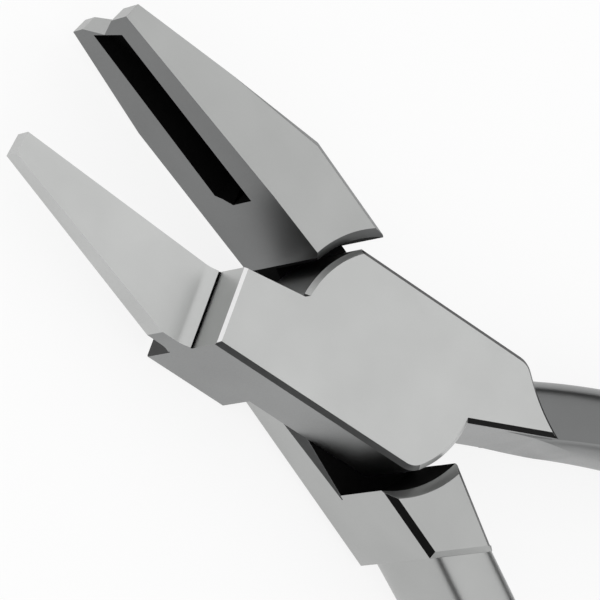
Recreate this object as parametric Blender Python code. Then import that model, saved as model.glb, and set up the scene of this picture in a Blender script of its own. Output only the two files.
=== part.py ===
# Orthodontic pliers with a flat beak and a slotted jaw, joined by a lap joint.
#
# Two forged halves cross at a blind pivot pin. The flat-beak half carries the
# front lap, the slotted-jaw half carries the rear lap. Each half is drawn in
# its closed frame: +X towards the tips, +Y towards its own jaw, the closing
# line on y = 0 and the pivot on the Z axis. The slotted half is the same
# drawing turned over about X. Both are then swung open about the pivot.

from collections import namedtuple
from math import atan2, copysign, cos, pi, radians, sin, tan

import bmesh
import bpy
from mathutils import Matrix, Vector

MM = 0.001

# Overall block of the joint
THICKNESS = 9.9 * MM              # front lap face to back face
FRONT_LAP = 5.95 * MM             # thickness of the front lap
LAP_CLEARANCE = 0.10 * MM         # between the two rubbing lap faces
LAP_RADIUS = 8.0 * MM             # rounded ends of the laps
LAP_END_X = 5.5 * MM              # the laps' sides end here, towards the tips
LAP_BACK_X = -5.4 * MM            # and here, towards the handles
SIDE_WIDTH = 6.08 * MM            # closing line to the box's side, at the pivot
FAR_SIDE_WIDTH = 6.28 * MM        # the same on the handle's side
BOX_FLARE = radians(3.6)          # the box widens towards both ends
EDGE_CHAMFER = 0.35 * MM          # broken edges of the box

# Jaws
JAW_GAP = 0.85 * MM               # closing line to each gripping face
ROOT_X = 15.2 * MM                # pivot to the widest point of each jaw
STEP_X = 13.3 * MM                # pivot to the steps of the flat beak
STEP_SLANT = radians(7.6)         # the steps lean back from square
STEP_FILLET = 0.9 * MM
BEAK_ROOT_THICKNESS = 2.2 * MM
BEAK_TIP_THICKNESS = 1.4 * MM
JAW_TIP_THICKNESS = 7.5 * MM
JAW_TAPER_X = 15.0 * MM           # the slotted jaw thins from here to its tip
SLOT_WIDTH = 3.7 * MM             # across the jaw's thickness
SLOT_START_X = 15.0 * MM
SLOT_END_SETBACK = 1.3 * MM       # from the jaw's tip
SLOT_TIP_WALL = 0.8 * MM          # metal left behind the slot at the tip
SLOT_ROOT_WALL = 1.8 * MM         # and at its other end
SLOT_CORNER = 0.8 * MM            # cut across its inner end
NOTCH_WIDTH = 4.0 * MM            # V in the end of the slotted jaw
NOTCH_DEPTH = 0.9 * MM

# Handles
HANDLE_REACH = 102.0 * MM         # pivot to the handle's end
HANDLE_BOW = 20.5 * MM            # pull of the curve away from the closing line
HANDLE_END_Y = 10.0 * MM          # closing line to the handle's end, jaws parallel
HANDLE_LEAD = 4.0 * MM            # the bar starts this far inside the box
HANDLE_PULL = 34.0 * MM           # how long it keeps its first direction
HANDLE_ROOT_WIDTH = 4.9 * MM
HANDLE_MID_WIDTH = 6.0 * MM
HANDLE_END_WIDTH = 4.6 * MM
HANDLE_ROOT_DEPTH = 8.0 * MM
HANDLE_MID_DEPTH = 7.2 * MM
HANDLE_END_DEPTH = 5.4 * MM
HANDLE_RINGS = 22
HANDLE_SIDES = 20
ROOT_SQUARENESS = 0.55            # 1 is an ellipse, smaller is squarer
BAR_SQUARENESS = 0.80

# What differs between the halves. Each is drawn with its jaw towards +Y.
Half = namedtuple("Half", "tip_x tip_width root_width knee_x crotch_y seat_room "
                          "recess_chamfer pass_y lean shoulder_lean shoulder_end corner_x "
                          "run_out")
BEAK = Half(tip_x=31.3 * MM,              # pivot to the tip
            tip_width=1.85 * MM,          # tip, seen from the front
            root_width=7.04 * MM,         # closing line to the jaw's widest point
            knee_x=STEP_X,                # the gripping face ends here
            crotch_y=0.10 * MM,           # the lap passes the closing line by this
            seat_room=0.6 * MM,           # turned seat, past the other lap's radius
            recess_chamfer=0.15 * MM,     # bevel at the mouth of that seat
            pass_y=3.5 * MM,              # closing line to the bar's middle
            lean=radians(24.7),           # the bar's first direction
            shoulder_lean=radians(25.0),  # inner edge of the flat shoulder
            shoulder_end=7.4 * MM,        # length of that edge
            corner_x=10.3 * MM,           # outer corner of the shoulder
            run_out=0.95 * MM)            # hollow of the shoulder's end
JAW = Half(tip_x=31.7 * MM, tip_width=1.45 * MM, root_width=6.85 * MM, knee_x=LAP_RADIUS + 1.3 * MM,
           crotch_y=-0.45 * MM, seat_room=1.15 * MM, recess_chamfer=0.60 * MM,
           pass_y=3.2 * MM, lean=radians(9.5), shoulder_lean=radians(18.0),
           shoulder_end=7.9 * MM, corner_x=12.9 * MM, run_out=0.0)
PASS_X = -9.0 * MM

# Pivot pin
PIN_RADIUS = 2.4 * MM
PIN_CLEARANCE = 0.05 * MM         # running fit of the shank
PIN_HEAD_RADIUS = 3.7 * MM
PIN_HEAD_DEPTH = 1.5 * MM
PIN_REACH = 4.2 * MM              # how far the shank enters the front lap
PIN_END_GAP = 0.30 * MM
PIN_SIDES = 64

# Pose in which the pliers lie at rest
BEAK_OPEN = radians(7.2)
JAW_OPEN = radians(8.2)

ARC_STEP = radians(4.0)
REACH_PAST = 2.0 * MM             # how far cutters run past the metal
STEEL = (0.56, 0.56, 0.56, 1.0)


def clear_scene():
    for item in list(bpy.data.objects):
        bpy.data.objects.remove(item, do_unlink=True)


def steel(name, roughness):
    material = bpy.data.materials.new(name)
    material.use_nodes = True
    shader = material.node_tree.nodes["Principled BSDF"]
    shader.inputs["Base Color"].default_value = STEEL
    shader.inputs["Metallic"].default_value = 1.0
    shader.inputs["Roughness"].default_value = roughness
    material.diffuse_color = STEEL
    return material


def arc(radius, start, end):
    """Points on a circle about the pivot, both ends included."""
    count = max(2, int(abs(end - start) / ARC_STEP) + 1)
    turn = [start + (end - start) * i / count for i in range(count + 1)]
    return [(radius * cos(a), radius * sin(a)) for a in turn]


def new_object(name, mesh_builder):
    mesh = bpy.data.meshes.new(name)
    shape = bmesh.new()
    mesh_builder(shape)
    bmesh.ops.recalc_face_normals(shape, faces=shape.faces)
    shape.to_mesh(mesh)
    shape.free()
    item = bpy.data.objects.new(name, mesh)
    bpy.context.collection.objects.link(item)
    return item


def extruded(name, outline, low, high, chamfer=0.0, placed=None):
    """A flat outline drawn out along Z, its front and back edges broken."""
    def build(shape):
        corners = [shape.verts.new((x, y, low)) for x, y in outline]
        face = shape.faces.new(corners)
        drawn = bmesh.ops.extrude_face_region(shape, geom=[face])
        risen = [v for v in drawn["geom"] if isinstance(v, bmesh.types.BMVert)]
        bmesh.ops.translate(shape, verts=risen, vec=(0, 0, high - low))
        if chamfer:
            rims = [e for e in shape.edges
                    if abs(e.verts[0].co.z - e.verts[1].co.z) < 1e-7]
            bmesh.ops.bevel(shape, geom=rims, offset=chamfer, segments=1,
                            profile=0.5, affect="EDGES", material=-1)
        if placed is not None:
            bmesh.ops.transform(shape, matrix=placed, verts=shape.verts)
    return new_object(name, build)


def turned(name, profile, sides):
    """A closed profile of (radius, z) points spun about the pivot axis."""
    def build(shape):
        corners = [shape.verts.new((r, 0, z)) for r, z in profile]
        rim = [shape.edges.new(pair) for pair in zip(corners, corners[1:])]
        bmesh.ops.spin(shape, geom=corners + rim, cent=(0, 0, 0), axis=(0, 0, 1),
                       angle=2 * pi, steps=sides, use_merge=True)
        bmesh.ops.remove_doubles(shape, verts=shape.verts, dist=1e-7)
    return new_object(name, build)


def combine(body, tools, operation):
    """Union or cut by each tool in turn, and drop the tools."""
    for tool in tools:
        step = body.modifiers.new(tool.name, "BOOLEAN")
        step.operation = operation
        step.solver = "EXACT"
        step.object = tool
        bpy.context.view_layer.update()
        seen = body.evaluated_get(bpy.context.evaluated_depsgraph_get())
        mesh = bpy.data.meshes.new_from_object(seen)
        body.modifiers.clear()
        body.data = mesh
        bpy.data.objects.remove(tool, do_unlink=True)


def side(x, width=SIDE_WIDTH):
    """Distance from the closing line to the box's side at x."""
    return width + x * tan(BOX_FLARE)


def half_outline(half):
    """Plan of one half without its handle, counter-clockwise."""
    lap_back = atan2(side(LAP_BACK_X), LAP_BACK_X)
    lap_front = -atan2(side(-LAP_END_X, FAR_SIDE_WIDTH), LAP_END_X)
    return ([(half.tip_x, JAW_GAP), (half.tip_x, JAW_GAP + half.tip_width),
             (ROOT_X, half.root_width), (LAP_BACK_X, side(LAP_BACK_X))]
            + arc(LAP_RADIUS, lap_back, pi + BEAK.crotch_y / LAP_RADIUS)
            + shoulder(half)
            + [(LAP_END_X, -side(-LAP_END_X, FAR_SIDE_WIDTH))]
            + arc(LAP_RADIUS, lap_front, -half.crotch_y / LAP_RADIUS)
            + [(half.knee_x, JAW_GAP)])


def shoulder(half):
    """Flat shoulder that the box leaves on the handle, ending in its run-out."""
    lean = half.shoulder_lean
    inner = Vector((-LAP_RADIUS, -BEAK.crotch_y))
    reach = inner - Vector((cos(lean), sin(lean))) * half.shoulder_end
    corner = Vector((-half.corner_x, -side(half.corner_x, FAR_SIDE_WIDTH)))
    middle = (reach + corner) / 2 + Vector((0.4, 1.0)) * half.run_out
    steps = 6
    points = []
    for i in range(steps + 1):
        t = i / steps
        spot = reach * (1 - t) ** 2 + middle * 2 * t * (1 - t) + corner * t * t
        points.append((spot.x, spot.y))
    return points


def centre_line(t, half):
    """One cubic curve from inside the box to the handle's end."""
    heading = Vector((cos(half.lean), sin(half.lean)))
    start = Vector((PASS_X, -half.pass_y)) + heading * HANDLE_LEAD
    first = start - heading * HANDLE_PULL
    second = Vector((-HANDLE_REACH * 0.70, -HANDLE_BOW))
    end = Vector((-HANDLE_REACH, -HANDLE_END_Y))
    u = 1 - t
    return start * u ** 3 + first * 3 * t * u * u + second * 3 * t * t * u + end * t ** 3


def blend(t, root, middle, end):
    """Smooth change of a size along the handle."""
    return root * (1 - t) * (1 - 2 * t) + middle * 4 * t * (1 - t) + end * t * (2 * t - 1)


def handle(half):
    """Bar swept along the centre line, nearly square at the box, with a round end."""
    def build(shape):
        rings = [bar_section(shape, i / HANDLE_RINGS, half, 1.0)
                 for i in range(HANDLE_RINGS + 1)]
        last = HANDLE_END_WIDTH / 2 / HANDLE_REACH
        for turn in (30, 55, 75):
            away = sin(radians(turn)) * last
            rings.append(bar_section(shape, 1 + away, half, cos(radians(turn))))
        for near, far in zip(rings, rings[1:]):
            bmesh.ops.bridge_loops(shape, edges=ring_edges(near) + ring_edges(far))
        shape.faces.new(rings[0])
        shape.faces.new(rings[-1])
    return new_object("handle", build)


def ring_edges(ring):
    found = []
    for near, far in zip(ring, ring[1:] + ring[:1]):
        found.append(next(e for e in near.link_edges if e.other_vert(near) is far))
    return found


def bar_section(shape, t, half, shrink):
    """One section of the bar, square to the centre line."""
    centre = centre_line(t, half)
    ahead = centre_line(t + 0.001, half) - centre_line(t - 0.001, half)
    across = Vector((-ahead.y, ahead.x)).normalized()
    reach = min(t, 1.0)
    width = blend(reach, HANDLE_ROOT_WIDTH, HANDLE_MID_WIDTH, HANDLE_END_WIDTH)
    depth = blend(reach, HANDLE_ROOT_DEPTH, HANDLE_MID_DEPTH, HANDLE_END_DEPTH)
    power = ROOT_SQUARENESS + (BAR_SQUARENESS - ROOT_SQUARENESS) * min(1.0, reach * 3)
    ring = []
    for i in range(HANDLE_SIDES):
        a = 2 * pi * (i + 0.5) / HANDLE_SIDES
        sideways = copysign(abs(cos(a)) ** power, cos(a)) * width / 2 * shrink
        rise = copysign(abs(sin(a)) ** power, sin(a)) * depth / 2 * shrink
        spot = centre + across * sideways
        ring.append(shape.verts.new((spot.x, spot.y, THICKNESS / 2 + rise)))
    for near, far in zip(ring, ring[1:] + ring[:1]):
        shape.edges.new((near, far))
    return ring


def recess_cutter(lap, half):
    """Room behind a lap of this thickness for the other lap to swing in."""
    top = THICKNESS - lap
    wall = LAP_RADIUS + half.seat_room
    bevel = half.recess_chamfer
    profile = [(0, top), (wall, top), (wall, bevel),
               (wall + bevel + REACH_PAST, -REACH_PAST), (0, -REACH_PAST)]
    return turned("recess_cutter", profile, 96)


def step_cutter(front):
    """Wedge that thins the flat beak from its step to its tip, filleted at the foot."""
    run = BEAK.tip_x - STEP_X
    root = BEAK_ROOT_THICKNESS / 2
    fall = (BEAK_ROOT_THICKNESS - BEAK_TIP_THICKNESS) / 2 / run
    high = THICKNESS / 2 + REACH_PAST
    length = run + 3 * REACH_PAST
    profile = [(length, high), (0, high)]
    for i in range(6):
        a = pi + pi / 2 * i / 5
        profile.append((STEP_FILLET * (1 + cos(a)), root + STEP_FILLET * (1 + sin(a))))
    profile.append((length, root - fall * length))
    lean = Matrix.Rotation(STEP_SLANT, 4, "Z")
    move = Matrix.Translation((STEP_X, SIDE_WIDTH / 2, THICKNESS / 2))
    stand = Matrix.Rotation(radians(90), 4, "X")
    flip = Matrix.Identity(4) if front else Matrix.Scale(-1, 4, (0, 0, 1))
    wide = 10 * MM
    return extruded("step_cutter", profile, -wide, wide, placed=move @ lean @ flip @ stand)


def side_wedge(front):
    """Thins one side of the slotted jaw towards its tip."""
    fall = (THICKNESS - JAW_TIP_THICKNESS) / 2
    run = JAW.tip_x - JAW_TAPER_X
    past = run + REACH_PAST
    profile = [(0, 0), (past, -fall * past / run), (past, REACH_PAST), (0, REACH_PAST)]
    stand = Matrix.Rotation(radians(90), 4, "X")
    flip = Matrix.Identity(4) if front else Matrix.Scale(-1, 4, (0, 0, 1))
    level = THICKNESS if front else 0.0
    move = Matrix.Translation((JAW_TAPER_X, 0, level))
    wide = 12 * MM
    return extruded("side_wedge", profile, -wide, wide, placed=move @ flip @ stand)


def slot_cutter():
    """Blind slot in the gripping face, its floor level with the jaw's outer side."""
    slope = (JAW.root_width - JAW_GAP - JAW.tip_width) / (JAW.tip_x - ROOT_X)
    end = JAW.tip_x - SLOT_END_SETBACK
    outer_end = JAW_GAP + JAW.tip_width + slope * SLOT_END_SETBACK
    profile = [(SLOT_START_X, -REACH_PAST), (end, -REACH_PAST),
               (end, outer_end - SLOT_TIP_WALL),
               (SLOT_START_X + SLOT_CORNER, JAW.root_width - SLOT_ROOT_WALL),
               (SLOT_START_X, JAW.root_width - SLOT_ROOT_WALL - SLOT_CORNER)]
    low = THICKNESS / 2 - SLOT_WIDTH / 2
    return extruded("slot_cutter", profile, low, low + SLOT_WIDTH)


def notch_cutter():
    """V across the end of the slotted jaw, running through its width."""
    half = NOTCH_WIDTH / 2
    past = 1.0 * MM
    wide = half * (NOTCH_DEPTH + past) / NOTCH_DEPTH
    profile = [(-NOTCH_DEPTH, 0), (past, wide), (past, -wide)]
    stand = Matrix.Rotation(radians(90), 4, "X")
    move = Matrix.Translation((JAW.tip_x, 0, THICKNESS / 2))
    return extruded("notch_cutter", profile, -THICKNESS, THICKNESS, placed=move @ stand)


def flat_beak_half():
    """Front lap with the thin flat beak and a blind hole for the pivot pin."""
    body = extruded("flat_beak_half", half_outline(BEAK), 0, THICKNESS, EDGE_CHAMFER)
    combine(body, [handle(BEAK)], "UNION")
    seat = THICKNESS - FRONT_LAP
    hole = turned("blind_hole", [(0, seat + PIN_REACH + PIN_END_GAP),
                                 (PIN_RADIUS + PIN_CLEARANCE, seat + PIN_REACH + PIN_END_GAP),
                                 (PIN_RADIUS + PIN_CLEARANCE, -REACH_PAST),
                                 (0, -REACH_PAST)], PIN_SIDES)
    tools = [recess_cutter(FRONT_LAP, BEAK), hole, step_cutter(True), step_cutter(False)]
    combine(body, tools, "DIFFERENCE")
    return finish(body, Matrix.Rotation(BEAK_OPEN, 4, "Z"))


def slotted_jaw_half():
    """Rear lap with the slotted jaw, turned over about X from the same drawing."""
    rear_lap = THICKNESS - FRONT_LAP - LAP_CLEARANCE
    body = extruded("slotted_jaw_half", half_outline(JAW), 0, THICKNESS, EDGE_CHAMFER)
    combine(body, [handle(JAW)], "UNION")
    bore = PIN_RADIUS + PIN_CLEARANCE
    sink = PIN_HEAD_RADIUS + PIN_CLEARANCE
    past = sink + REACH_PAST * (sink - bore) / PIN_HEAD_DEPTH
    hole = turned("pivot_bore", [(0, THICKNESS + REACH_PAST),
                                 (past, THICKNESS + REACH_PAST),
                                 (bore, THICKNESS - PIN_HEAD_DEPTH),
                                 (bore, -REACH_PAST), (0, -REACH_PAST)], PIN_SIDES)
    tools = [recess_cutter(rear_lap, JAW), hole, side_wedge(True), side_wedge(False),
             slot_cutter(), notch_cutter()]
    combine(body, tools, "DIFFERENCE")
    turn_over = Matrix.Translation((0, 0, THICKNESS)) @ Matrix.Rotation(pi, 4, "X")
    return finish(body, Matrix.Rotation(-JAW_OPEN, 4, "Z") @ turn_over)


def pivot_pin():
    """Countersunk pin set in from the back, its head ground flush."""
    top = THICKNESS - FRONT_LAP + PIN_REACH
    tip = 0.4 * MM
    profile = [(0, top), (PIN_RADIUS - tip, top), (PIN_RADIUS, top - tip),
               (PIN_RADIUS, PIN_HEAD_DEPTH), (PIN_HEAD_RADIUS, 0), (0, 0)]
    return finish(turned("pivot_pin", profile, PIN_SIDES), Matrix.Identity(4))


def finish(item, place):
    """Clean the mesh, put it in place and shade it."""
    item.data.transform(place)
    shape = bmesh.new()
    shape.from_mesh(item.data)
    bmesh.ops.remove_doubles(shape, verts=shape.verts, dist=1e-6)
    bmesh.ops.dissolve_degenerate(shape, edges=shape.edges, dist=1e-6)
    bmesh.ops.recalc_face_normals(shape, faces=shape.faces)
    shape.to_mesh(item.data)
    shape.free()
    item.data.materials.clear()
    item.data.materials.append(steel(item.name + "_steel", 0.35))
    item.data.shade_smooth()
    item.data.set_sharp_from_angle(angle=radians(25))
    return item


def main():
    clear_scene()
    flat_beak_half()
    slotted_jaw_half()
    pivot_pin()


main()
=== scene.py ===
from collections import namedtuple
from math import acos, copysign, cos, pi, radians, sin, tan

import bmesh
import bpy
from bpy.props import FloatProperty, FloatVectorProperty, IntProperty, PointerProperty
from bpy.types import Operator, Panel, PropertyGroup
from mathutils import Matrix, Vector


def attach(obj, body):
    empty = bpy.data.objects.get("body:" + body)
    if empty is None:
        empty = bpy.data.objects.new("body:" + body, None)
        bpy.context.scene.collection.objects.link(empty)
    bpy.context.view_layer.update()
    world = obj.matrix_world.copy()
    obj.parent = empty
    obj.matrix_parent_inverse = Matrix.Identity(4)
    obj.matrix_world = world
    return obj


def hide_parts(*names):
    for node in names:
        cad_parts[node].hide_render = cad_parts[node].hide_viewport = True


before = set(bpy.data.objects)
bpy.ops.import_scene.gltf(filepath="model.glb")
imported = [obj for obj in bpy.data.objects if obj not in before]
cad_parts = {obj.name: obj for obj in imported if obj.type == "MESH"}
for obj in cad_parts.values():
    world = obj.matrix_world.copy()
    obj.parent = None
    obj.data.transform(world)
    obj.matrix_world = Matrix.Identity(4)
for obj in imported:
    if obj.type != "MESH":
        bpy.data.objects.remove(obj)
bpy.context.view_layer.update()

bl_info = {
    "name": "Orthodontic Pliers",
    "version": (1, 0, 0),
    "blender": (4, 5, 0),
    "location": "View3D > Sidebar > Pliers",
    "description": "Flat-beak and slotted-jaw pliers with a lap joint, built as separate forged halves",
    "category": "Object",
}

MM = 0.001
BEAK_BODY = "beak_half"
JAW_BODY = "jaw_half"
CREASE = radians(22)              # edges sharper than this are kept and softened
TOUCH = 1e-7                      # points nearer than this, in metres, are one point
MERGE = 1e-6                      # the same for the finished pieces
GRIT_MM = 0.12                    # blasting grit, drawn coarse enough to show
CLOUD_MM = 6.0                    # patches of the faint clouding on blasted steel
HOLLOW_GRAIN_MM = 0.5                    # grains in the painted black shade of the hollows


def linear(code):
    """An sRGB hex colour as linear red, green and blue."""
    parts = [int(code[i:i + 2], 16) / 255 for i in (1, 3, 5)]
    return [c / 12.92 if c <= 0.04045 else ((c + 0.055) / 1.055) ** 2.4 for c in parts]


def size(label, value, note, **more):
    """A length given in millimetres."""
    return FloatProperty(name=label, description=note, default=value * MM,
                         unit="LENGTH", precision=5, **more)


def colour(label, code, note):
    """A colour given as an sRGB hex code."""
    return FloatVectorProperty(name=label, description=note, subtype="COLOR",
                               default=linear(code), min=0, max=1)


def angle(label, value, note):
    """An angle given in degrees."""
    return FloatProperty(name=label, description=note, default=radians(value),
                         subtype="ANGLE")


class PliersSizes(PropertyGroup):
    thickness: size("Thickness", 9.9, "Front lap face to back face")
    side_width: size("Side width", 6.08, "Closing line to the box's side at the pivot")
    far_side_width: size("Far side width", 6.28, "The same on the handle's side")
    flare: angle("Flare", 3.6, "How fast the box widens towards both ends")
    front_lap: size("Front lap", 5.95, "Thickness of the front lap")
    lap_clearance: size("Lap clearance", 0.10, "Between the rubbing lap faces")
    lap_radius: size("Lap radius", 8.0, "Rounded ends of the laps")
    lap_facet: size("Lap facet", 1.5, "Bevel on the rear lap's free edge, at its wide end")
    facet_fade: FloatProperty(name="Facet fade", description="Its narrow end against that",
                              default=0.05, min=0, max=1)
    jaw_gap: size("Jaw gap", 0.85, "Closing line to each gripping face")
    root_x: size("Jaw root", 15.2, "Pivot to the widest point of each jaw")
    step_x: size("Step", 13.3, "Pivot to the steps of the flat beak")
    step_slant: angle("Step slant", 7.6, "How far the steps lean back from square")
    cove_run: size("Cove length", 1.0, "Hollow in front of each step")
    cove_rise: size("Cove rise", 0.45, "Height of that hollow at the step")
    step_groove: size("Step groove", 0.16, "Scribed line at the step's foot")
    # the crest chamfer's brightness is a painted highlight
    step_chamfer: size("Step chamfer", 0.22, "Polished edge along the step's crest")
    beak_root_thickness: size("Beak root thickness", 2.2, "At the steps")
    beak_tip_thickness: size("Beak tip thickness", 1.4, "At the tip")
    front_taper_x: size("Front taper start", 15.0, "The jaw's front thins from here")
    front_drop: size("Front drop", 0.2, "How much in the first 4 mm")
    front_thinning: size("Front thinning", 0.9, "How much at the tip")
    back_taper_x: size("Back taper start", 22.5, "The jaw's back thins from here")
    back_drop: size("Back drop", 0.7, "How much in the first 4 mm")
    back_thinning: size("Back thinning", 1.6, "How much at the tip")
    slot_width: size("Slot width", 3.75, "Across the thickness, at its inner end")
    slot_narrowing: size("Slot narrowing", 0.5, "How much less it is at the tip")
    slot_end_slant: size("Slot end slant", 0.6, "Its far end runs on this much at the back")
    slot_offset: size("Slot offset", 0.1, "The slot lies this much nearer the front")
    slot_corner: size("Slot corner", 0.8, "Cut across its inner end")
    slot_rear_cut: size("Slot rear cut", 1.3, "Its inner end's rear corner")
    slot_start_x: size("Slot start", 15.0, "Pivot to the slot's inner end")
    slot_end_setback: size("Slot end setback", 1.3, "From the jaw's tip")
    slot_tip_wall: size("Slot tip wall", 0.8, "Metal behind the slot at the tip")
    slot_root_wall: size("Slot root wall", 1.8, "Metal behind the slot at its inner end")
    notch_width: size("Notch width", 4.0, "Mouth of the V in the jaw's end")
    notch_depth: size("Notch depth", 0.9, "Depth of the V in the jaw's end")
    handle_reach: size("Handle reach", 102.0, "Pivot to the handle's end")
    handle_bow: size("Handle bow", 18.9, "Pull of the curve off the closing line")
    handle_end_y: size("Handle end", 10.0, "Closing line to the handle's end")
    handle_lead: size("Handle lead", 4.0, "The bar starts this far inside the box")
    handle_pull: size("Handle pull", 33.2, "How long it keeps its first direction")
    trim_inset: size("Trim inset", 0.02, "Just inside the shoulder's edge")
    handle_mid_width: size("Handle middle width", 5.8, "Seen from the front")
    handle_end_width: size("Handle end width", 4.6, "Seen from the front")
    handle_mid_depth: size("Handle middle depth", 7.2, "Across the thickness")
    handle_end_depth: size("Handle end depth", 5.4, "Across the thickness")
    pin_radius: size("Pin radius", 2.4, "Shank of the pivot pin")
    pin_clearance: size("Pin clearance", 0.05, "Running fit of the shank")
    pin_head_radius: size("Pin head radius", 3.7, "Countersunk head")
    pin_head_depth: size("Pin head depth", 1.5, "Depth of the countersink")
    pin_reach: size("Pin reach", 4.2, "Shank inside the front lap")
    pin_end_room: size("Pin end room", 0.3, "Blind hole past the shank's end")
    pin_tip: size("Pin tip", 0.4, "Bevel round the shank's end")
    beak_open: angle("Beak opening", 7.2, "Flat beak off the middle line at rest")
    jaw_open: angle("Jaw opening", 8.2, "Slotted jaw off the middle line at rest")
    soft_edge: size("Soft edge", 0.06, "Polishing radius on every edge")
    arc_steps: IntProperty(name="Arc steps", description="Faces in a quarter turn",
                           default=40, min=8)
    handle_rings: IntProperty(name="Handle rings", description="Sections of a handle",
                              default=90, min=10)
    handle_sides: IntProperty(name="Handle sides", description="Faces round a handle",
                              default=56, min=12)


class PliersFinish(PropertyGroup):
    ground: colour("Ground steel", "#C5C6C5", "Faces of the flat-beak half")
    # satin steel whose darker tone is painted shade on the flat-beak half's sides
    satin: colour("Satin steel", "#8C8D8D", "Sides of the flat-beak half")
    # painted shade: near-black put into the slot, the seats, the crotch and the step's groove
    scale: colour("Black scale", "#050505", "Unpolished slot and recesses")
    # painted reflection and shade: dark on broken edges, standing in for the dark they mirror, and on
    # the rear step's wall
    edge: colour("Dark edge", "#2A2A2A", "Broken edges, which mirror the dark")
    # painted highlight: near-white on the crest chamfer of the flat beak's step
    painted_highlight_tone: colour("Polished edge", "#F2F2F2", "Crest of the flat beak's step")
    brushed: colour("Brushed steel", "#B3B4B3", "Faces and sides of the slotted half")
    # painted shade: a darker copy of the steel on the gripping face, the upper handle's front and back,
    # the seat's bevel and the lap's facet
    dull: colour("Dull steel", "#797A7A", "Gripping face and upper handle")
    floor: colour("Floor", "#F4F4F4", "Paper that the pliers lie on")
    ground_roughness: FloatProperty(name="Ground roughness", default=0.36,
                                    description="Gloss of the ground faces")
    satin_roughness: FloatProperty(name="Satin roughness", default=0.34,
                                   description="Gloss of the sides and handles")


def add_node(tree, kind, links=None, **settings):
    """One shader node, its settings, its socket values and what feeds it."""
    item = tree.nodes.new(kind)
    for key, value in settings.items():
        if hasattr(item, key):
            setattr(item, key, value)
        else:
            item.inputs[key.replace("_", " ")].default_value = value
    for socket, source in (links or {}).items():
        tree.links.new(source, item.inputs[socket])
    return item


def new_material(name):
    """An empty material and its node tree."""
    material = bpy.data.materials.new(name)
    material.use_nodes = True
    material.node_tree.nodes.clear()
    return material, material.node_tree


def satin_stainless(name, tone, roughness):
    """Stainless steel, bead-blasted and then lightly brushed: an even grey
    sheen broken by fine grain and faint clouding."""
    material, tree = new_material(name)
    place = add_node(tree, "ShaderNodeTexCoord").outputs["Object"]
    grain = add_node(tree, "ShaderNodeTexNoise", {"Vector": place},
                     Scale=1 / (GRIT_MM * MM), Detail=3.0, Roughness=0.6)
    cloud = add_node(tree, "ShaderNodeTexNoise", {"Vector": place},
                     Scale=1 / (CLOUD_MM * MM), Detail=2.0, Roughness=0.5)
    shade = add_node(tree, "ShaderNodeMapRange", {"Value": cloud.outputs["Fac"]},
                     From_Min=0.3, From_Max=0.7, To_Min=0.95, To_Max=1.03)
    tint = add_node(tree, "ShaderNodeVectorMath", {0: shade.outputs["Result"]},
                    operation="MULTIPLY")
    tint.inputs[1].default_value = tone
    dull = add_node(tree, "ShaderNodeMapRange", {"Value": grain.outputs["Fac"]},
                    From_Min=0.3, From_Max=0.7, To_Min=roughness - 0.04,
                    To_Max=roughness + 0.04)
    bump = add_node(tree, "ShaderNodeBump", {"Height": grain.outputs["Fac"]},
                    Strength=0.06, Distance=0.02 * MM)
    shader = add_node(tree, "ShaderNodeBsdfPrincipled",
                      {"Base Color": tint.outputs["Vector"],
                       "Roughness": dull.outputs["Result"],
                       "Normal": bump.outputs["Normal"]}, Metallic=1.0)
    add_node(tree, "ShaderNodeOutputMaterial", {"Surface": shader.outputs["BSDF"]})
    return material


def painted_hollow_shade_finish(name, tone):
    """Dull, grainy near-black steel: painted shade in the slot, the seats, the crotch and the step's
    groove.
    """
    material, tree = new_material(name)
    place = add_node(tree, "ShaderNodeTexCoord").outputs["Object"]
    grain = add_node(tree, "ShaderNodeTexNoise", {"Vector": place},
                     Scale=1 / (HOLLOW_GRAIN_MM * MM), Detail=4.0, Roughness=0.7)
    shade = add_node(tree, "ShaderNodeMapRange", {"Value": grain.outputs["Fac"]},
                     From_Min=0.3, From_Max=0.7, To_Min=0.5, To_Max=1.6)
    tint = add_node(tree, "ShaderNodeVectorMath", {0: shade.outputs["Result"]},
                    operation="MULTIPLY")
    tint.inputs[1].default_value = tone
    bump = add_node(tree, "ShaderNodeBump", {"Height": grain.outputs["Fac"]},
                    Strength=0.3, Distance=0.05 * MM)
    shader = add_node(tree, "ShaderNodeBsdfPrincipled",
                      {"Base Color": tint.outputs["Vector"],
                       "Normal": bump.outputs["Normal"]}, Roughness=0.85)
    shader.inputs["Specular IOR Level"].default_value = 0.1
    add_node(tree, "ShaderNodeOutputMaterial", {"Surface": shader.outputs["BSDF"]})
    return material


def new_object(name, mesh_builder, finish=0):
    """A mesh object whose faces take this finish unless the builder chose another."""
    mesh = bpy.data.meshes.new(name)
    shape = bmesh.new()
    mesh_builder(shape)
    bmesh.ops.recalc_face_normals(shape, faces=shape.faces)
    for face in shape.faces:
        face.material_index = face.material_index or finish
    shape.to_mesh(mesh)
    shape.free()
    item = bpy.data.objects.new(name, mesh)
    bpy.context.scene.collection.objects.link(item)
    return item


def choose_finishes(shape, chosen):
    """Give each face the finish that is chosen for its middle."""
    if chosen is not None:
        for face in shape.faces:
            face.material_index = chosen(face.calc_center_median())


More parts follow.
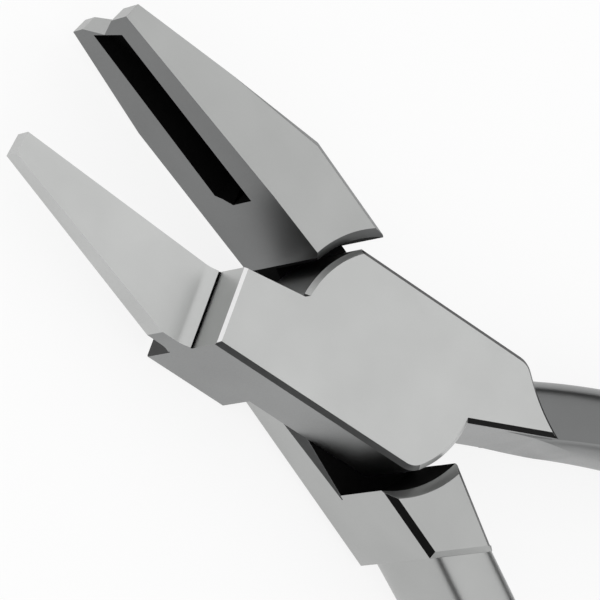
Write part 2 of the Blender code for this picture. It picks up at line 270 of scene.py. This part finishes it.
def extruded(name, outline, low, high, chamfer=0.0, placed=None, finish=0, sharp=None,
             chosen=None):
    """A flat outline drawn out along Z, its front and back edges broken. Chosen gives
    a face its finish by its middle, before the piece is placed."""
    def build(shape):
        corners = [shape.verts.new((x, y, low)) for x, y in outline]
        face = shape.faces.new(corners)
        drawn = bmesh.ops.extrude_face_region(shape, geom=[face])
        risen = [v for v in drawn["geom"] if isinstance(v, bmesh.types.BMVert)]
        bmesh.ops.translate(shape, verts=risen, vec=(0, 0, high - low))
        if chamfer:
            rims = [e for e in shape.edges
                    if abs(e.verts[0].co.z - e.verts[1].co.z) < TOUCH
                    and not all(sharp(v.co) for v in e.verts)]
            bmesh.ops.bevel(shape, geom=rims, offset=chamfer, segments=1,
                            profile=0.5, affect="EDGES", material=-1)
        choose_finishes(shape, chosen)
        if placed is not None:
            bmesh.ops.transform(shape, matrix=placed, verts=shape.verts)
    return new_object(name, build, finish)


def turned(name, profile, sides, finish=0, chosen=None):
    """A closed profile of (radius, z) points spun about the pivot axis."""
    def build(shape):
        corners = [shape.verts.new((r, 0, z)) for r, z in profile]
        rim = [shape.edges.new(pair) for pair in zip(corners, corners[1:])]
        bmesh.ops.spin(shape, geom=corners + rim, cent=(0, 0, 0), axis=(0, 0, 1),
                       angle=2 * pi, steps=sides, use_merge=True)
        bmesh.ops.remove_doubles(shape, verts=shape.verts, dist=TOUCH)
        choose_finishes(shape, chosen)
    return new_object(name, build, finish)


def combine(body, tools, operation):
    """Union or cut by each tool in turn, and drop the tools."""
    for tool in tools:
        step = body.modifiers.new(tool.name, "BOOLEAN")
        step.operation = operation
        step.solver = "EXACT"
        step.object = tool
        bpy.context.view_layer.update()
        seen = body.evaluated_get(bpy.context.evaluated_depsgraph_get())
        mesh = bpy.data.meshes.new_from_object(seen)
        body.modifiers.clear()
        body.data = mesh
        bpy.data.objects.remove(tool, do_unlink=True)


# The finishes, and their places in a half's list: steel finishes, painted shade, a painted dark
# reflection and a painted highlight
FINISHES = ("ground_stainless_steel", "satin_steel_with_painted_shade", "painted_hollow_shade_steel",
            "painted_dark_edge_steel", "painted_highlight_steel", "painted_shade_steel",
            "brushed_stainless_steel")
GROUND, SATIN_WITH_PAINTED_SHADE, PAINTED_HOLLOW_SHADE, PAINTED_DARK_EDGE, PAINTED_HIGHLIGHT, PAINTED_SHADE, BRUSHED = range(len(FINISHES))
# The slotted half is brushed where the other half is ground or satin with painted shade
SLOTTED_FINISHES = (BRUSHED, BRUSHED, PAINTED_HOLLOW_SHADE, PAINTED_DARK_EDGE, PAINTED_HIGHLIGHT, PAINTED_SHADE, BRUSHED)


# What differs between the halves, each drawn with its jaw towards +Y:
# the tip's distance and width, the jaw's widest point, how far past the lap's end the
# gripping face stops, how far the lap passes the closing line, the box's chamfer, the
# turned seat's room and bevel, the bar's place, first direction and width at the box,
# the shoulder's inner edge, length, outer corner and hollow end, the length over which
# the bar's inner side is ground flat, the lap's radius on the jaw's side, the rounding
# of the box's outer corners, and the bar's depth at the box.
Shape = namedtuple("Shape", "tip_x tip_width root_width knee crotch_y chamfer seat_room "
                            "seat_bevel pass_y lean root_wide shoulder_lean shoulder_end "
                            "corner_x run_out trim front_radius ease root_deep")
BEAK = Shape(tip_x=31.3 * MM, tip_width=1.85 * MM, root_width=7.04 * MM, knee=5.3 * MM,
             crotch_y=0.10 * MM, chamfer=0.35 * MM, seat_room=0.6 * MM,
             seat_bevel=0.15 * MM, pass_y=1.9 * MM, lean=radians(38.0),
             root_wide=4.9 * MM, shoulder_lean=radians(25.0), shoulder_end=8.1 * MM,
             corner_x=10.3 * MM, run_out=0.6 * MM, trim=13.0 * MM,
             front_radius=8.4 * MM, ease=0.8 * MM, root_deep=8.2 * MM)
JAW = Shape(tip_x=31.7 * MM, tip_width=1.4 * MM, root_width=6.7 * MM, knee=1.3 * MM,
            crotch_y=-0.45 * MM, chamfer=0.45 * MM, seat_room=1.15 * MM,
            seat_bevel=0.60 * MM, pass_y=3.1 * MM, lean=radians(11.0),
            root_wide=5.2 * MM, shoulder_lean=radians(18.0), shoulder_end=8.2 * MM,
            corner_x=12.5 * MM, run_out=0.0, trim=0.0, front_radius=8.0 * MM,
            ease=0.0, root_deep=9.4 * MM)
PASS_X = -9.0 * MM                # the bar's place and direction are given here
BOW_PLACE = 0.70                  # the bow pulls at this share of the handle's reach
RUN_OUT_PULL = Vector((0.4, 1.0))     # way in which the shoulder's end is hollowed
FLAT_NORMAL = 0.8                 # the bar's front and back face at least this much up
JAW_RAMP = 4.0 * MM               # the jaw's faces drop over this length, then taper
# How the ground flat fades out: along the bar and inwards, both as shares of its length
TRIM_FADE = ((0, 0), (0.25, 0), (0.5, 0.01), (0.77, 0.035), (1.3, 0.11), (2, 0.26))
ROOT_SQUARENESS = 0.38            # 1 is an ellipse, smaller is squarer
BAR_SQUARENESS = 0.80


class Half:
    """One half of the pliers, drawn with its jaw towards +Y and its lap in front."""

    def __init__(self, sizes, shape):
        self.s = sizes
        self.shape = shape
        self.past = 2.0 * MM      # how far cutters reach out of the steel

    def arc(self, radius, start, end):
        """Points round the pivot from one angle to another."""
        count = max(4, int(abs(end - start) / (pi / 2) * self.s.arc_steps) + 1)
        turn = [start + (end - start) * i / count for i in range(count + 1)]
        return [(radius * cos(a), radius * sin(a)) for a in turn]

    def outline(self):
        """Plan of one half without its handle, counter-clockwise. Each lap's arc starts
        or ends where it meets the flared side of the box."""
        s = self.s
        h = self.shape
        lap_back = pi / 2 + s.flare + acos(s.side_width * cos(s.flare) / s.lap_radius)
        lap_front = -pi / 2 + s.flare + acos(s.far_side_width * cos(s.flare) / h.front_radius)
        jaw = [(h.tip_x, s.jaw_gap), (h.tip_x, s.jaw_gap + h.tip_width),
               (s.root_x, h.root_width)]
        eased = h.ease / s.lap_radius
        back = self.arc(s.lap_radius, lap_back + eased, pi + BEAK.crotch_y / s.lap_radius)
        corner = (s.lap_radius * cos(lap_back), s.lap_radius * sin(lap_back))
        front = self.arc(h.front_radius, lap_front, -h.crotch_y / h.front_radius)
        return (jaw + self.eased(jaw[-1], corner, back[0])[:-1] + back
                + self.shoulder(front[0]) + front + [(s.lap_radius + h.knee, s.jaw_gap)])

    def eased(self, before, corner, after):
        """A corner rounded from its side's last stretch to the point after it."""
        if not self.shape.ease:
            return [tuple(corner)]
        before, corner, after = Vector(before), Vector(corner), Vector(after)
        start = corner + (before - corner).normalized() * self.shape.ease
        return [curved(start, corner, after, i / 6) for i in range(7)]

    def shoulder(self, beyond):
        """Flat shoulder that the box leaves on the handle, ending in its run-out. The
        outline goes on to the point beyond it."""
        h = self.shape
        inner = Vector((-self.s.lap_radius, -BEAK.crotch_y))
        along = Vector((cos(h.shoulder_lean), sin(h.shoulder_lean)))
        reach = inner - along * h.shoulder_end
        far = self.s.far_side_width + h.corner_x * tan(self.s.flare)
        corner = Vector((-h.corner_x, -far))
        middle = (reach + corner) / 2 + RUN_OUT_PULL * h.run_out
        steps = 16
        points = [curved(reach, middle, corner, i / steps) for i in range(steps - 1)]
        after = corner + (Vector(beyond) - corner).normalized() * h.ease
        return points + self.eased(points[-1], corner, after)

    def centre_line(self, t):
        """One cubic curve from inside the box to the handle's end."""
        s = self.s
        h = self.shape
        heading = Vector((cos(h.lean), sin(h.lean)))
        start = Vector((PASS_X, -h.pass_y)) + heading * s.handle_lead
        first = start - heading * s.handle_pull
        second = Vector((-s.handle_reach * BOW_PLACE, -s.handle_bow))
        end = Vector((-s.handle_reach, -s.handle_end_y))
        u = 1 - t
        return start * u ** 3 + first * 3 * t * u * u + second * 3 * t * t * u + end * t ** 3

    def section(self, shape, t, shrink):
        """One section of the bar, square to the centre line."""
        s = self.s
        centre = self.centre_line(t)
        ahead = self.centre_line(t + 0.001) - self.centre_line(t - 0.001)
        across = Vector((-ahead.y, ahead.x)).normalized()
        reach = min(t, 1.0)
        width = blend(reach, self.shape.root_wide, s.handle_mid_width, s.handle_end_width)
        depth = blend(reach, self.shape.root_deep, s.handle_mid_depth, s.handle_end_depth)
        rounding = min(1.0, reach * 3)
        power = ROOT_SQUARENESS + (BAR_SQUARENESS - ROOT_SQUARENESS) * rounding
        ring = []
        for i in range(s.handle_sides):
            a = 2 * pi * (i + 0.5) / s.handle_sides
            sideways = copysign(abs(cos(a)) ** power, cos(a)) * width / 2 * shrink
            rise = copysign(abs(sin(a)) ** power, sin(a)) * depth / 2 * shrink
            spot = centre + across * sideways
            ring.append(shape.verts.new((spot.x, spot.y, s.thickness / 2 + rise)))
        for near, far in zip(ring, ring[1:] + ring[:1]):
            shape.edges.new((near, far))
        return ring

    def handle(self):
        """Bar swept along the centre line, nearly square at the box, with a round end."""
        s = self.s

        def build(shape):
            rings = [self.section(shape, i / s.handle_rings, 1.0)
                     for i in range(s.handle_rings + 1)]
            last = s.handle_end_width / 2 / s.handle_reach
            for turn in range(10, 90, 10):
                away = sin(radians(turn)) * last
                rings.append(self.section(shape, 1 + away, cos(radians(turn))))
            for near, far in zip(rings, rings[1:]):
                bmesh.ops.bridge_loops(shape, edges=ring_edges(near) + ring_edges(far))
            shape.faces.new(rings[0])
            shape.faces.new(rings[-1])
            bmesh.ops.recalc_face_normals(shape, faces=shape.faces)
            for face in shape.faces:
                # On the flat-beak half the bar's front and back take painted shade and its sides satin
                # with painted shade
                flat = self.shape.trim and abs(face.normal.z) > FLAT_NORMAL
                face.material_index = PAINTED_SHADE if flat else SATIN_WITH_PAINTED_SHADE
        bar = new_object("handle", build)
        if self.shape.trim:
            combine(bar, [self.trim_cutter()], "DIFFERENCE")
        return bar

    def trim_cutter(self):
        """Grinds the bar's inner side flat in line with the shoulder's inner edge."""
        s = self.s
        lean = self.shape.shoulder_lean
        along = Vector((-cos(lean), -sin(lean)))
        inwards = Vector((-sin(lean), cos(lean)))
        near = Vector((-s.lap_radius, -BEAK.crotch_y - s.trim_inset))
        line = [near + (along * far + inwards * rise) * self.shape.trim
                for far, rise in TRIM_FADE]
        above = Vector((0, self.shape.trim))
        profile = [line[0], line[0] + above, line[-1] + above] + line[:0:-1]
        # the ground flat takes satin with painted shade
        return extruded("trim_cutter", profile, -self.past, s.thickness + self.past,
                        finish=SATIN_WITH_PAINTED_SHADE)

    def recess_cutter(self, lap):
        """Room behind a lap of this thickness for the other lap to swing in."""
        top = self.s.thickness - lap
        wall = self.s.lap_radius + self.shape.seat_room
        bevel = self.shape.seat_bevel
        profile = [(0, top), (wall, top), (wall, bevel),
                   (wall + bevel + self.past, -self.past), (0, -self.past)]

        def chosen(spot):
            # the seat's wall takes painted black shade
            if spot.z > bevel:
                return PAINTED_HOLLOW_SHADE
            # its bevel takes painted shade ahead of the pivot and the side finish behind it
            return PAINTED_SHADE if spot.x > 0 else SATIN_WITH_PAINTED_SHADE
        return turned("recess_cutter", profile, 4 * self.s.arc_steps, chosen=chosen)

    def step_cutter(self, front):
        """Wedge that thins the flat beak from its step to its tip."""
        s = self.s
        run = BEAK.tip_x - s.step_x
        root = s.beak_root_thickness / 2
        fall = (s.beak_root_thickness - s.beak_tip_thickness) / 2 / run
        high = s.thickness / 2 + self.past
        length = run + 3 * self.past
        crest = s.thickness / 2 - s.step_chamfer
        foot = root + s.cove_rise
        groove = s.step_groove
        profile = [(length, high), (crest - high, high), (0, crest), (0, foot),
                   (groove / 2, foot - groove), (groove, foot)]
        cove_steps = 8
        for i in range(1, cove_steps + 1):
            t = i / cove_steps
            profile.append((groove + s.cove_run * t, root + s.cove_rise * (1 - t) ** 2))
        profile.append((length, root - fall * length))

        def chosen(spot):
            # the step's crest chamfer takes a painted highlight
            if spot.y > crest and spot.x < 0:
                return PAINTED_HIGHLIGHT
            # the groove at the step's foot takes painted black shade
            if 0 < spot.x < groove and spot.y < foot:
                return PAINTED_HOLLOW_SHADE
            # the rear step's wall takes painted shade
            return GROUND if front or spot.x > 0 else PAINTED_DARK_EDGE
        lean = Matrix.Rotation(s.step_slant, 4, "Z")
        move = Matrix.Translation((s.step_x, s.side_width / 2, s.thickness / 2))
        stand = Matrix.Rotation(radians(90), 4, "X")
        flip = Matrix.Identity(4) if front else Matrix.Scale(-1, 4, (0, 0, 1))
        wide = 10 * MM
        return extruded("step_cutter", profile, -wide, wide, chosen=chosen,
                        placed=move @ lean @ flip @ stand)

    def side_wedge(self, taper_x, drop, thinning, turned_over):
        """Thins one side of the slotted jaw: this drop at its root, more at its tip."""
        run = JAW.tip_x - taper_x
        far = run + self.past
        slope = (thinning - drop) / (run - JAW_RAMP)
        profile = [(0, 0), (JAW_RAMP, -drop), (far, -drop - slope * (far - JAW_RAMP)),
                   (far, self.past), (0, self.past)]
        stand = Matrix.Rotation(radians(90), 4, "X")
        flip = Matrix.Scale(-1, 4, (0, 0, 1)) if turned_over else Matrix.Identity(4)
        level = 0.0 if turned_over else self.s.thickness
        move = Matrix.Translation((taper_x, 0, level))
        wide = 12 * MM
        return extruded("side_wedge", profile, -wide, wide, placed=move @ flip @ stand)

    def slot_cutter(self):
        """Blind slot in the gripping face, its floor level with the outer side. It
        narrows to the tip, and the rear corner of its inner end is cut off."""
        s = self.s
        slope = (JAW.root_width - s.jaw_gap - JAW.tip_width) / (JAW.tip_x - s.root_x)
        end = JAW.tip_x - s.slot_end_setback
        outer_end = s.jaw_gap + JAW.tip_width + slope * s.slot_end_setback
        deep = JAW.root_width - s.slot_root_wall
        profile = [(s.slot_start_x, -self.past), (end, -self.past),
                   (end, outer_end - s.slot_tip_wall),
                   (s.slot_start_x + s.slot_corner, deep),
                   (s.slot_start_x, deep - s.slot_corner)]
        low = (s.thickness - s.slot_width) / 2 - s.slot_offset
        # the slot's walls take painted black shade
        cutter = extruded("slot_cutter", profile, low, low + s.slot_width, finish=PAINTED_HOLLOW_SHADE)
        # The rear side comes nearer at the tip and runs on a little further
        for spot in cutter.data.vertices:
            if spot.co.x > end - s.slot_corner and spot.co.z > low + s.slot_width / 2:
                spot.co.z -= s.slot_narrowing
                spot.co.x += s.slot_end_slant
        # The rear corner of the inner end
        shape = bmesh.new()
        shape.from_mesh(cutter.data)
        rear = [e for e in shape.edges
                if all(v.co.x < s.slot_start_x + MERGE for v in e.verts)
                and all(v.co.z > low + s.slot_width / 2 for v in e.verts)]
        bmesh.ops.bevel(shape, geom=rear, offset=s.slot_rear_cut, segments=1,
                        profile=0.5, affect="EDGES", material=-1)
        shape.to_mesh(cutter.data)
        shape.free()
        return cutter

    def facet_cutter(self):
        """Bevels the free edge of the rear lap, fading out at the turned seat."""
        s = self.s
        facet = s.lap_facet
        profile = [(facet, 0), (0, facet), (-facet, 0), (0, -facet)]
        stand = Matrix(((0, 0, 1, 0), (1, 0, 0, 0), (0, 1, 0, 0), (0, 0, 0, 1)))
        lean = Matrix.Rotation(s.flare, 4, "Z")
        move = Matrix.Translation((0, -s.far_side_width, s.front_lap + s.lap_clearance))
        seat = (s.lap_radius + JAW.seat_room) ** 2 - s.far_side_width ** 2
        # the facet takes painted shade
        cutter = extruded("facet_cutter", profile, -seat ** 0.5, s.lap_radius + self.past,
                          finish=PAINTED_SHADE)
        for spot in cutter.data.vertices:
            if spot.co.z < 0:
                spot.co.x *= s.facet_fade
                spot.co.y *= s.facet_fade
        cutter.data.transform(move @ lean @ stand)
        return cutter

    def notch_cutter(self):
        """V across the end of the slotted jaw, running through its width."""
        s = self.s
        past = 1.0 * MM
        wide = s.notch_width / 2 * (s.notch_depth + past) / s.notch_depth
        profile = [(-s.notch_depth, 0), (past, wide), (past, -wide)]
        stand = Matrix.Rotation(radians(90), 4, "X")
        move = Matrix.Translation((JAW.tip_x, 0, s.thickness / 2))
        return extruded("notch_cutter", profile, -s.thickness, s.thickness,
                        placed=move @ stand)

    def grips(self, spot):
        """True on the gripping face and the crotch behind it, whose edges stay sharp."""
        gap = self.s.jaw_gap
        inside = -self.shape.crotch_y - 0.01 * gap < spot.y < gap * 1.01
        return inside and spot.x > self.s.lap_radius * 0.9

    def finish_of(self, spot, normal):
        """Finish of a face of the plate: faces ground, sides satin with painted shade, gripping face
        painted shade, broken edges a painted dark reflection or shade, crotch painted black shade."""
        s = self.s
        # the crotch takes painted black shade
        in_crotch = s.lap_radius < spot.x < s.lap_radius + self.shape.knee
        if in_crotch and -self.shape.crotch_y < spot.y < s.jaw_gap:
            return PAINTED_HOLLOW_SHADE
        upright = abs(normal.z) < 0.5
        broken_edge = 0.5 < abs(normal.y) < 0.95
        if upright:
            # the gripping face takes painted shade; behind the jaw's root the other upright faces take
            # satin with painted shade
            if abs(spot.y - s.jaw_gap) < 0.01 * MM:
                return PAINTED_SHADE
            return GROUND if spot.x > s.root_x else SATIN_WITH_PAINTED_SHADE
        if broken_edge:
            # these broken edges take a painted dark reflection
            if spot.y < 0 or spot.x < -s.lap_radius:
                return PAINTED_DARK_EDGE
            # the other broken edges facing +Y take painted shade
            return PAINTED_SHADE if normal.y > 0 else GROUND
        return GROUND

    def blank(self, name):
        """Box, shoulder and jaw in one plate, with the handle joined on."""
        body = extruded(name, self.outline(), 0, self.s.thickness, self.shape.chamfer,
                        sharp=self.grips)
        for face in body.data.polygons:
            face.material_index = self.finish_of(face.center, face.normal)
        for place in range(len(FINISHES)):
            body.data.materials.append(None)
        combine(body, [self.handle()], "UNION")
        return body


def curved(start, middle, end, t):
    """A point of the curve from start to end that bends towards the middle one."""
    spot = start * (1 - t) ** 2 + middle * 2 * t * (1 - t) + end * t * t
    return spot.x, spot.y


def ring_edges(ring):
    """The edges round one section, in order."""
    found = []
    for near, far in zip(ring, ring[1:] + ring[:1]):
        found.append(next(e for e in near.link_edges if e.other_vert(near) is far))
    return found


def blend(t, root, middle, end):
    """Smooth change of a size along the handle."""
    return root * (1 - t) * (1 - 2 * t) + middle * 4 * t * (1 - t) + end * t * (2 * t - 1)


def finished(item, place, finishes, soft):
    """Put the piece in its place, clean it, give it its finishes and soft edges."""
    item.data.transform(place)
    shape = bmesh.new()
    shape.from_mesh(item.data)
    bmesh.ops.remove_doubles(shape, verts=shape.verts, dist=MERGE)
    bmesh.ops.dissolve_degenerate(shape, edges=shape.edges, dist=MERGE)
    bmesh.ops.dissolve_limit(shape, angle_limit=radians(0.3), verts=shape.verts,
                             edges=shape.edges, delimit={"MATERIAL"})
    bmesh.ops.recalc_face_normals(shape, faces=shape.faces)
    shape.to_mesh(item.data)
    shape.free()
    for index, material in enumerate(finishes):
        if index < len(item.data.materials):
            item.data.materials[index] = material
        else:
            item.data.materials.append(material)
    item.data.shade_smooth()
    item.data.set_sharp_from_angle(angle=CREASE)
    edge = item.modifiers.new("soft_edges", "BEVEL")
    edge.width = soft
    edge.segments = 2
    edge.limit_method = "ANGLE"
    edge.angle_limit = CREASE
    edge.harden_normals = True
    edge.use_clamp_overlap = True
    return item


def finishes_of(scene, chosen=range(len(FINISHES))):
    """The steel finishes, made once and shared by the pieces, in this piece's order."""
    f = scene.pliers_finish
    if bpy.data.materials.get(FINISHES[GROUND]) is None:
        # The satin and dull tones are painted shade over steel, the scale tone painted black shade, the
        # edge tone a painted dark reflection and shade, the polished tone a painted highlight
        satin_stainless(FINISHES[GROUND], f.ground, f.ground_roughness)
        satin_stainless(FINISHES[SATIN_WITH_PAINTED_SHADE], f.satin, f.satin_roughness)
        painted_hollow_shade_finish(FINISHES[PAINTED_HOLLOW_SHADE], f.scale)
        satin_stainless(FINISHES[PAINTED_DARK_EDGE], f.edge, f.satin_roughness)
        satin_stainless(FINISHES[PAINTED_HIGHLIGHT], f.painted_highlight_tone, f.ground_roughness)
        satin_stainless(FINISHES[PAINTED_SHADE], f.dull, f.satin_roughness)
        satin_stainless(FINISHES[BRUSHED], f.brushed, f.satin_roughness)
    return [bpy.data.materials[FINISHES[place]] for place in chosen]


class PLIERS_OT_beak_half(Operator):
    """Flat-beak half: front lap, thin stepped beak and upper handle"""
    bl_idname = "pliers.beak_half"
    bl_label = "Flat-Beak Half"

    def execute(self, context):
        s = context.scene.pliers_sizes
        half = Half(s, BEAK)
        body = half.blank("flat_beak_half_fine")
        seat = s.thickness - s.front_lap
        hole_top = seat + s.pin_reach + s.pin_end_room
        wall = s.pin_radius + s.pin_clearance
        # the hole's wall takes satin with painted shade
        hole = turned("blind_hole", [(0, hole_top), (wall, hole_top),
                                     (wall, -half.past), (0, -half.past)],
                      2 * s.arc_steps, finish=SATIN_WITH_PAINTED_SHADE)
        combine(body, [half.recess_cutter(s.front_lap), hole, half.step_cutter(True),
                       half.step_cutter(False)], "DIFFERENCE")
        piece = finished(body, Matrix.Rotation(s.beak_open, 4, "Z"),
                         finishes_of(context.scene), s.soft_edge)
        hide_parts("flat_beak_half")
        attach(piece, BEAK_BODY)
        return {"FINISHED"}


class PLIERS_OT_jaw_half(Operator):
    """Slotted-jaw half: rear lap, thick jaw with its slot and lower handle"""
    bl_idname = "pliers.jaw_half"
    bl_label = "Slotted-Jaw Half"

    def execute(self, context):
        s = context.scene.pliers_sizes
        half = Half(s, JAW)
        body = half.blank("slotted_jaw_half_fine")
        rear_lap = s.thickness - s.front_lap - s.lap_clearance
        bore = s.pin_radius + s.pin_clearance
        sink = s.pin_head_radius + s.pin_clearance
        mouth = sink + half.past * (sink - bore) / s.pin_head_depth
        high = s.thickness + half.past
        hole = turned("pivot_bore", [(0, high), (mouth, high),
                                     (bore, s.thickness - s.pin_head_depth),
                                     (bore, -half.past), (0, -half.past)],
                      2 * s.arc_steps, finish=SATIN_WITH_PAINTED_SHADE)
        combine(body, [half.recess_cutter(rear_lap), hole, half.facet_cutter(),
                       half.side_wedge(s.back_taper_x, s.back_drop, s.back_thinning, False),
                       half.side_wedge(s.front_taper_x, s.front_drop, s.front_thinning,
                                       True),
                       half.slot_cutter(), half.notch_cutter()], "DIFFERENCE")
        turn_over = Matrix.Translation((0, 0, s.thickness)) @ Matrix.Rotation(pi, 4, "X")
        piece = finished(body, Matrix.Rotation(-s.jaw_open, 4, "Z") @ turn_over,
                         finishes_of(context.scene, SLOTTED_FINISHES), s.soft_edge)
        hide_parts("slotted_jaw_half")
        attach(piece, JAW_BODY)
        return {"FINISHED"}


class PLIERS_OT_pivot_pin(Operator):
    """Countersunk pivot pin, ground flush with the back"""
    bl_idname = "pliers.pivot_pin"
    bl_label = "Pivot Pin"

    def execute(self, context):
        s = context.scene.pliers_sizes
        top = s.thickness - s.front_lap + s.pin_reach
        pin = turned("pivot_pin_fine", [(0, top), (s.pin_radius - s.pin_tip, top),
                                        (s.pin_radius, top - s.pin_tip),
                                        (s.pin_radius, s.pin_head_depth),
                                        (s.pin_head_radius, 0), (0, 0)],
                     2 * s.arc_steps)
        piece = finished(pin, Matrix.Identity(4), finishes_of(context.scene, [GROUND]),
                         s.soft_edge)
        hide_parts("pivot_pin")
        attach(piece, BEAK_BODY)
        return {"FINISHED"}


class PLIERS_OT_stage(Operator):
    """White paper, soft light and the camera at the photograph's angle"""
    bl_idname = "pliers.stage"
    bl_label = "Stage"

    def execute(self, context):
        scene = context.scene
        scene.view_settings.view_transform = "Standard"
        white_world(scene)
        paper(scene)
        dark_card("near_flag", FLAG_DISTANCE)
        dark_card("far_flag", -FLAG_DISTANCE)
        add_camera(scene)
        return {"FINISHED"}


def white_world(scene):
    """Even white light from all round."""
    world = bpy.data.worlds.new("white_studio")
    world.use_nodes = True
    tree = world.node_tree
    tree.nodes.clear()
    back = add_node(tree, "ShaderNodeBackground", Color=(1, 1, 1, 1), Strength=1.0)
    add_node(tree, "ShaderNodeOutputWorld", {"Surface": back.outputs["Background"]})
    scene.world = world


# The paper: how far it shows plain white instead of the light on it, half its size and
# how far it lies under the pliers, in metres
PAPER_GLOW = 0.85
PAPER_SIZE = 3.0
PAPER_DROP = 0.0002


def paper(scene):
    """A white floor under the back face, which keeps a faint shadow of the pliers."""
    def build(shape):
        bmesh.ops.create_grid(shape, x_segments=1, y_segments=1, size=PAPER_SIZE)
        bmesh.ops.translate(shape, verts=shape.verts, vec=(0, 0, -PAPER_DROP))
    floor = new_object("paper_floor", build)
    material, tree = new_material("white_paper")
    path = add_node(tree, "ShaderNodeLightPath")
    first = add_node(tree, "ShaderNodeMath", {0: path.outputs["Is Camera Ray"],
                                              1: path.outputs["Is Glossy Ray"]},
                     operation="MAXIMUM")
    second = add_node(tree, "ShaderNodeMath", {0: first.outputs["Value"],
                                               1: path.outputs["Is Transmission Ray"]},
                      operation="MAXIMUM")
    seen = add_node(tree, "ShaderNodeMath", {0: second.outputs["Value"]},
                    operation="MULTIPLY")
    seen.inputs[1].default_value = PAPER_GLOW
    plain = add_node(tree, "ShaderNodeBsdfDiffuse")
    plain.inputs["Color"].default_value = (*scene.pliers_finish.floor, 1)
    glow = add_node(tree, "ShaderNodeEmission", Strength=1.0)
    mix = add_node(tree, "ShaderNodeMixShader", {0: seen.outputs["Value"],
                                                 1: plain.outputs["BSDF"],
                                                 2: glow.outputs["Emission"]})
    add_node(tree, "ShaderNodeOutputMaterial", {"Surface": mix.outputs["Shader"]})
    floor.data.materials.append(material)


# The black flags, in metres: how far off they stand, half their length, and the
# heights of their lower and upper edges
FLAG_DISTANCE = 0.5
FLAG_LENGTH = 1.5
FLAG_FOOT = 0.05
FLAG_TOP = 0.34


def dark_card(name, y):
    """A black flag beside the pliers, seen by the metal alone, as in a light tent."""
    def build(shape):
        ends = ((-FLAG_LENGTH, FLAG_FOOT), (FLAG_LENGTH, FLAG_FOOT),
                (FLAG_LENGTH, FLAG_TOP), (-FLAG_LENGTH, FLAG_TOP))
        shape.faces.new([shape.verts.new((x, y, z)) for x, z in ends])
    card = new_object(name, build)
    material, tree = new_material(name + "_cloth")
    cloth = add_node(tree, "ShaderNodeBsdfDiffuse")
    cloth.inputs["Color"].default_value = (0.01, 0.01, 0.01, 1)
    add_node(tree, "ShaderNodeOutputMaterial", {"Surface": cloth.outputs["BSDF"]})
    card.data.materials.append(material)
    card.visible_camera = False
    card.visible_diffuse = False
    card.visible_shadow = False


# The camera: its directions to the right and upwards in the part's frame, and the
# photograph's frame and scale
CAMERA_RIGHT = Vector((-0.6689, -0.5115, 0.5394))
CAMERA_UP = Vector((0.6548, -0.7485, 0.1024))
PIVOT_PIXEL = (390, 363)          # where the photograph shows the pivot's middle
PIXELS_PER_MM = 13.95
FRAME_PIXELS = 600


def add_camera(scene):
    """A long lens at the photograph's angle, with the pivot where it shows it."""
    lens = bpy.data.cameras.new("camera")
    lens.sensor_width = 36.0
    lens.lens = 300.0
    lens.clip_start = 0.01
    lens.clip_end = 20.0
    field = FRAME_PIXELS / PIXELS_PER_MM * MM
    away = field * lens.lens / lens.sensor_width
    back = CAMERA_RIGHT.cross(CAMERA_UP).normalized()
    up = back.cross(CAMERA_RIGHT).normalized()
    right = up.cross(back).normalized()
    across = (PIVOT_PIXEL[0] - FRAME_PIXELS / 2) / PIXELS_PER_MM * MM
    down = (PIVOT_PIXEL[1] - FRAME_PIXELS / 2) / PIXELS_PER_MM * MM
    s = scene.pliers_sizes
    target = Vector((0, 0, s.thickness)) - right * across + up * down
    item = bpy.data.objects.new("camera", lens)
    turn = Matrix((right, up, back)).transposed().to_4x4()
    item.matrix_world = Matrix.Translation(target + back * away) @ turn
    scene.collection.objects.link(item)
    scene.camera = item


class PLIERS_PT_panel(Panel):
    """Lists the pliers' sizes, finishes and pieces"""
    bl_idname = "PLIERS_PT_panel"
    bl_label = "Orthodontic Pliers"
    bl_space_type = "VIEW_3D"
    bl_region_type = "UI"
    bl_category = "Pliers"

    def draw(self, context):
        column = self.layout.column()
        for group in (context.scene.pliers_sizes, context.scene.pliers_finish):
            for name in group.__annotations__:
                column.prop(group, name)
        for step in STEPS:
            column.operator(step.bl_idname)


STEPS = (PLIERS_OT_stage, PLIERS_OT_beak_half, PLIERS_OT_jaw_half, PLIERS_OT_pivot_pin)
CLASSES = (PliersSizes, PliersFinish) + STEPS + (PLIERS_PT_panel,)


def register():
    for item in CLASSES:
        bpy.utils.register_class(item)
    bpy.types.Scene.pliers_sizes = PointerProperty(type=PliersSizes)
    bpy.types.Scene.pliers_finish = PointerProperty(type=PliersFinish)


def unregister():
    del bpy.types.Scene.pliers_finish
    del bpy.types.Scene.pliers_sizes
    for item in reversed(CLASSES):
        bpy.utils.unregister_class(item)


def main():
    register()
    bpy.ops.pliers.stage()
    bpy.ops.pliers.beak_half()
    bpy.ops.pliers.jaw_half()
    bpy.ops.pliers.pivot_pin()


if __name__ == "__main__":
    main()
